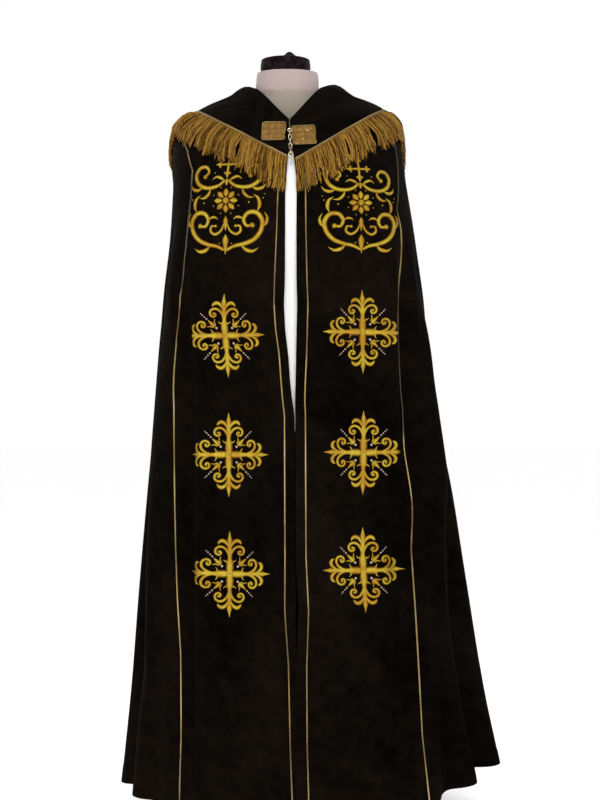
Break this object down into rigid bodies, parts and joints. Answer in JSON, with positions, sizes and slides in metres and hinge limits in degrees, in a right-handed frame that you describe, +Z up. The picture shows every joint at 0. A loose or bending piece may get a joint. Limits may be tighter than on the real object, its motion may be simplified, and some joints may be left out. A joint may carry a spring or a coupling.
{
  "type": "cope vestment on dress form",
  "caption": "Floor-length black cope with gold-corded orphreys, fringed hood and clasp, hung on a limbless dress form with a round stand.",
  "frame": {"origin": "centre of the stand's base, on its underside, where the pole's axis meets the floor", "axes": "+Z up along the pole; the cope's front opening faces -Y; +X is towards the wearer's left"},
  "size_m": [0.7479, 0.6779, 1.547],
  "materials": {
    "black_cloth": "matt black woven wool cloth",
    "gold_thread": "twisted gold thread fringe",
    "gold_piping": "gold cord",
    "brocade": "gold brocade over a stiff plate",
    "gilt_metal": "polished gilt wire",
    "form_jersey": "cream knitted jersey cover",
    "black_cap": "satin black moulded cap",
    "stand_metal": "satin grey"
  },
  "bodies": {
    "root": {"cope_body": "black_cloth", "orphrey_left": "black_cloth", "orphrey_right": "black_cloth", "front_band_left": "black_cloth", "front_band_right": "black_cloth", "hood": "black_cloth", "piping_left_inner": "gold_piping", "piping_left_outer": "gold_piping", "piping_right_inner": "gold_piping", "piping_right_outer": "gold_piping", "fringe_front_left": "gold_thread", "fringe_front_right": "gold_thread", "fringe_back_left": "gold_thread", "fringe_back_right": "gold_thread", "morse_plate_left": "brocade", "morse_plate_right": "brocade", "clasp_hook": "gilt_metal", "clasp_eye": "gilt_metal", "chain_link_1": "gilt_metal", "chain_link_2": "gilt_metal", "chain_link_3": "gilt_metal", "chain_link_4": "gilt_metal", "chain_ring": "gilt_metal", "chain_drop": "gilt_metal", "dress_form": "form_jersey", "neck_cap": "black_cap", "cap_knob": "black_cap", "stand_pole": "stand_metal", "stand_base": "stand_metal"}
  },
  "joints": []
}
